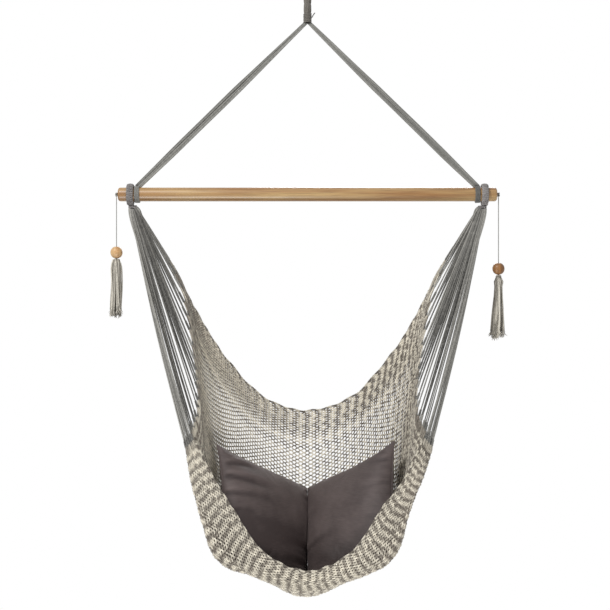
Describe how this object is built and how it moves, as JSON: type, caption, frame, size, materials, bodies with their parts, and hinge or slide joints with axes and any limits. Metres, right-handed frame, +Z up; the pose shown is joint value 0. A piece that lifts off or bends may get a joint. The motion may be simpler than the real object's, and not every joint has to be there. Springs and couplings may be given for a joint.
{
  "type": "hammock chair",
  "caption": "Hanging chair: a net of knotted cords with two square cushions, slung by fans of strings from a wooden spreader bar with tassels on one rope.",
  "frame": {"origin": "the point on the inside top of the hanging eye where the ceiling hook bears", "axes": "+Z up along the stem, +X along the spreader bar to the right of a viewer in front, -Y toward that viewer"},
  "size_m": [1.1498, 0.506, 1.8284],
  "materials": {
    "grey_cord": "matt twisted cord",
    "net_cord": "matt twisted cord, dyed cream and grey by turns",
    "bar_wood": "satin varnish",
    "pale_bead_wood": "satin varnish",
    "dark_bead_wood": "satin varnish",
    "tassel_cord": "matt thread",
    "cushion_cloth": "smooth close weave with a soft sheen",
    "cushion_filling": "white lining",
    "zip": "matt"
  },
  "bodies": {
    "eye": {"hanging_eye": "grey_cord"},
    "eye_neck": {"eye_binding": "grey_cord"},
    "stem": {"stem_rope": "grey_cord"},
    "yoke": {"apex_binding": "grey_cord", "left_suspension_leg": "grey_cord", "right_suspension_leg": "grey_cord", "left_leg_wrap": "grey_cord", "right_leg_wrap": "grey_cord", "spreader_bar": "bar_wood", "left_bar_knot": "grey_cord", "right_bar_knot": "grey_cord"},
    "seat": {"left_seat_loop": "grey_cord", "right_seat_loop": "grey_cord", "left_loop_binding": "grey_cord", "right_loop_binding": "grey_cord", "left_back_strings": "grey_cord", "left_middle_strings": "grey_cord", "left_front_strings": "grey_cord", "right_back_strings": "grey_cord", "right_middle_strings": "grey_cord", "right_front_strings": "grey_cord", "left_side_cord": "grey_cord", "right_side_cord": "grey_cord", "net": "net_cord", "back_edge_cord": "net_cord", "front_edge_cord": "net_cord"},
    "left_cushion": {"left_cushion_cover": "cushion_cloth", "left_cushion_insert": "cushion_filling", "left_cushion_zip": "zip"},
    "right_cushion": {"right_cushion_cover": "cushion_cloth", "right_cushion_insert": "cushion_filling", "right_cushion_zip": "zip"},
    "left_tassel": {"left_tassel_string": "grey_cord", "left_tassel_head": "tassel_cord", "left_tassel_skirt": "tassel_cord"},
    "right_tassel": {"right_tassel_string": "grey_cord", "right_tassel_head": "tassel_cord", "right_tassel_skirt": "tassel_cord"},
    "left_bead": {"left_bead": "pale_bead_wood"},
    "right_bead": {"right_bead": "dark_bead_wood"}
  },
  "joints": [
    {"name": "sway_side", "type": "hinge", "parent": "eye", "child": "eye_neck", "pos_m": [0, 0, -0.0777], "axis": [0, 1, 0], "range_deg": [-10, 10]},
    {"name": "sway_fore", "type": "hinge", "parent": "eye_neck", "child": "stem", "pos_m": [0, 0, -0.0961], "axis": [1, 0, 0], "range_deg": [-15, 15]},
    {"name": "stem_twist", "type": "hinge", "parent": "stem", "child": "yoke", "pos_m": [0, 0, -0.137], "axis": [0, 0, 1], "range_deg": [-180, 180], "stiffness_Nm_per_rad": 0.4},
    {"name": "seat_swing", "type": "hinge", "parent": "yoke", "child": "seat", "pos_m": [0, 0, -0.66], "axis": [1, 0, 0], "range_deg": [-20, 20]},
    {"name": "left_cushion_lift", "type": "slide", "parent": "seat", "child": "left_cushion", "axis": [0, 0.2497, 0.9683], "range_m": [0, 0.2]},
    {"name": "right_cushion_lift", "type": "slide", "parent": "seat", "child": "right_cushion", "axis": [0, 0.2497, 0.9683], "range_m": [0, 0.2]},
    {"name": "left_tassel_swing", "type": "hinge", "parent": "yoke", "child": "left_tassel", "pos_m": [-0.5529, 0, -0.66], "axis": [1, 0, 0], "range_deg": [-45, 45]},
    {"name": "right_tassel_swing", "type": "hinge", "parent": "yoke", "child": "right_tassel", "pos_m": [0.5529, 0, -0.66], "axis": [1, 0, 0], "range_deg": [-45, 45]},
    {"name": "left_bead_slide", "type": "slide", "parent": "left_tassel", "child": "left_bead", "axis": [0, 0, 1], "range_m": [0, 0.12]},
    {"name": "right_bead_slide", "type": "slide", "parent": "right_tassel", "child": "right_bead", "axis": [0, 0, 1], "range_m": [0, 0.165]}
  ]
}
